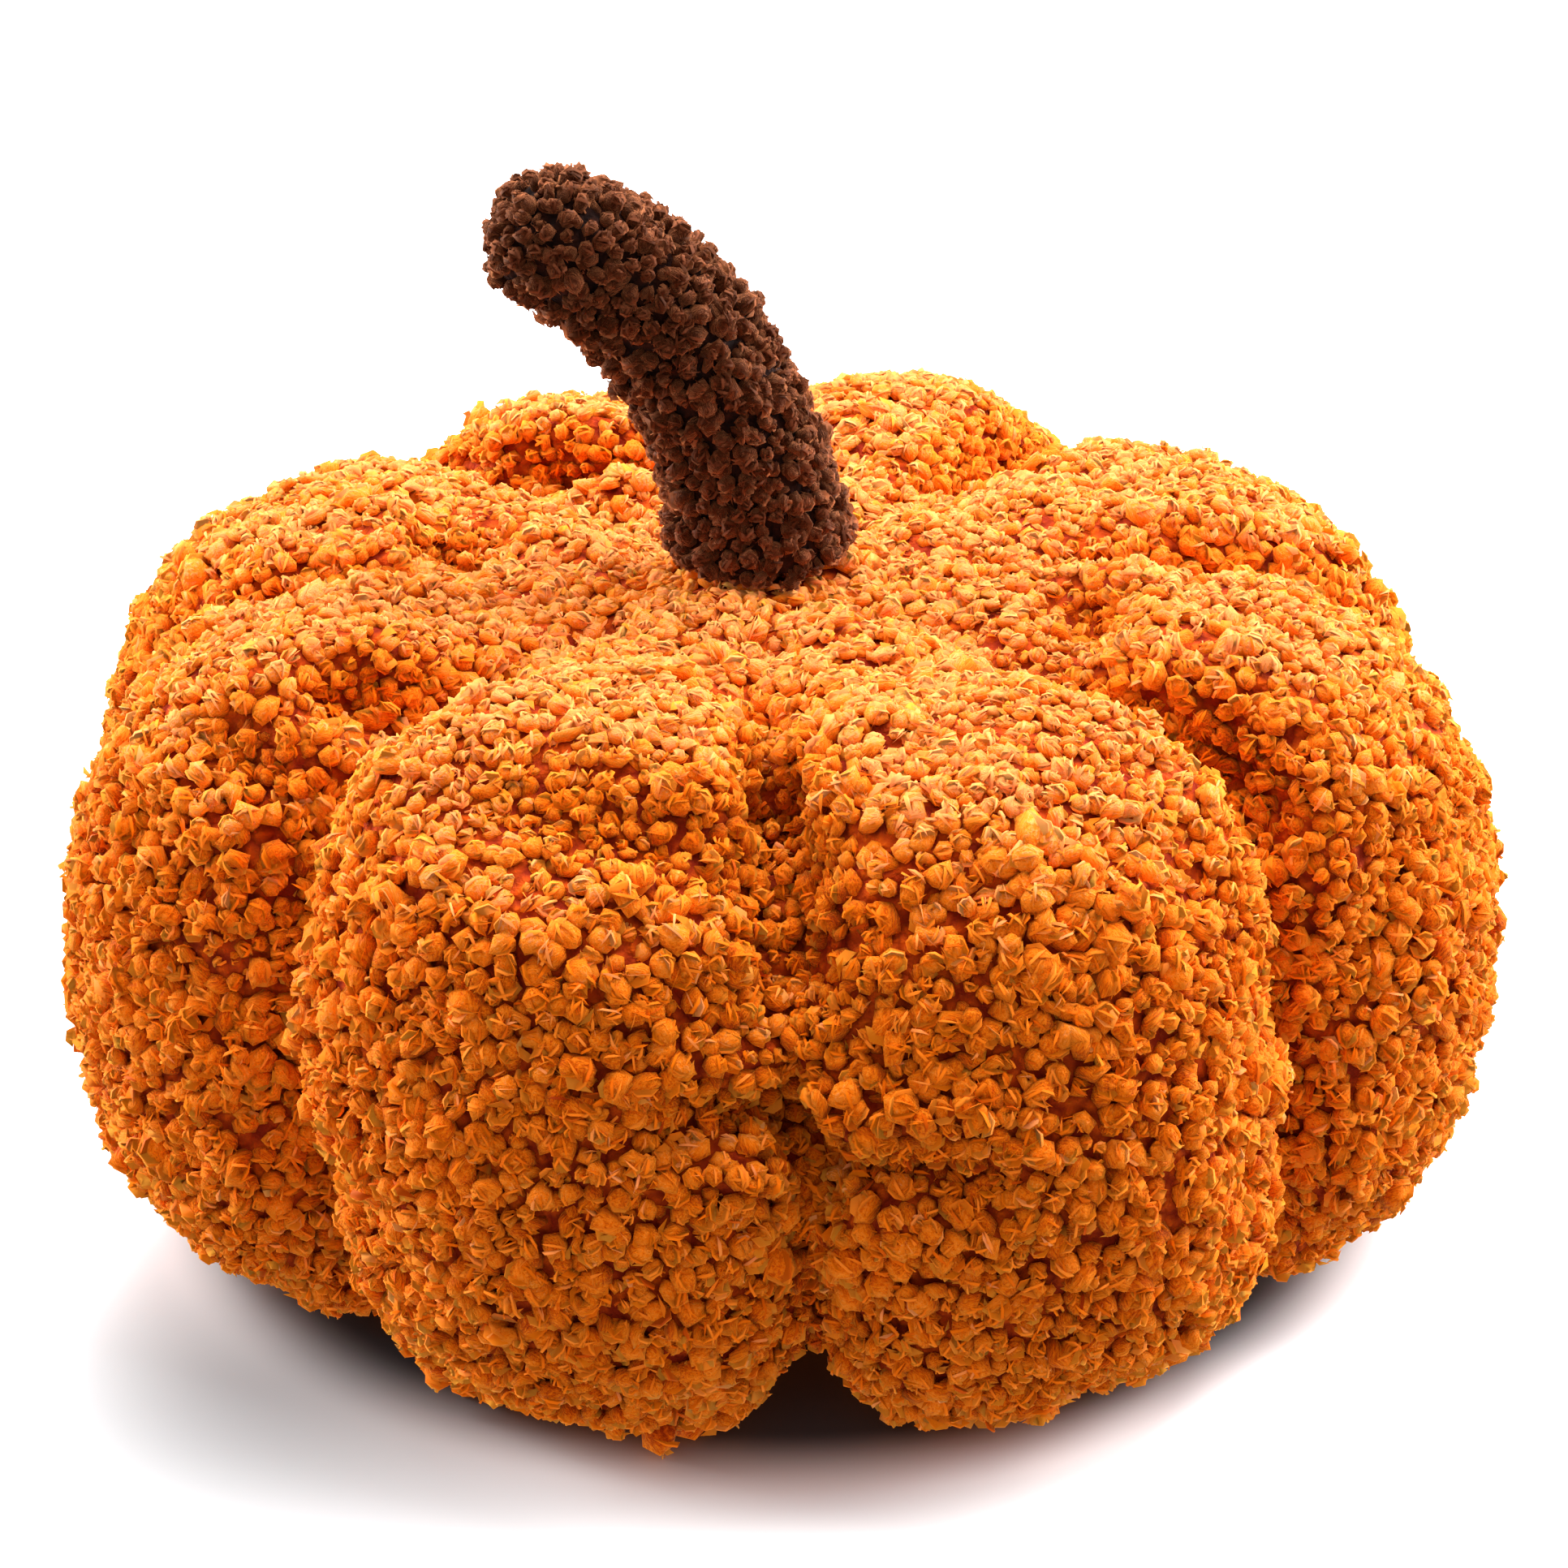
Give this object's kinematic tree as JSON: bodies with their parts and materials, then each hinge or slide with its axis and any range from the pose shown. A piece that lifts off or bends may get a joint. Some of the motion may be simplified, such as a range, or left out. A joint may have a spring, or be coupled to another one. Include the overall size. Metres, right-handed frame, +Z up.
{
  "type": "pumpkin cushion",
  "caption": "Round stuffed cushion in the shape of a pumpkin, with puffed lobes parted by sewn channels and a bent stuffed stem.",
  "frame": {"origin": "under the middle of the cushion's box, on the surface that it rests on", "axes": "+Z up along the lower stem, -Y towards the front channel, and the stem bends towards -X"},
  "size_m": [0.3414, 0.3384, 0.2597],
  "materials": {
    "orange_fleece": "curly teddy fleece",
    "brown_fleece": "curly teddy fleece"
  },
  "bodies": {
    "root": {"pumpkin_body": "orange_fleece", "stem": "brown_fleece"}
  },
  "joints": []
}
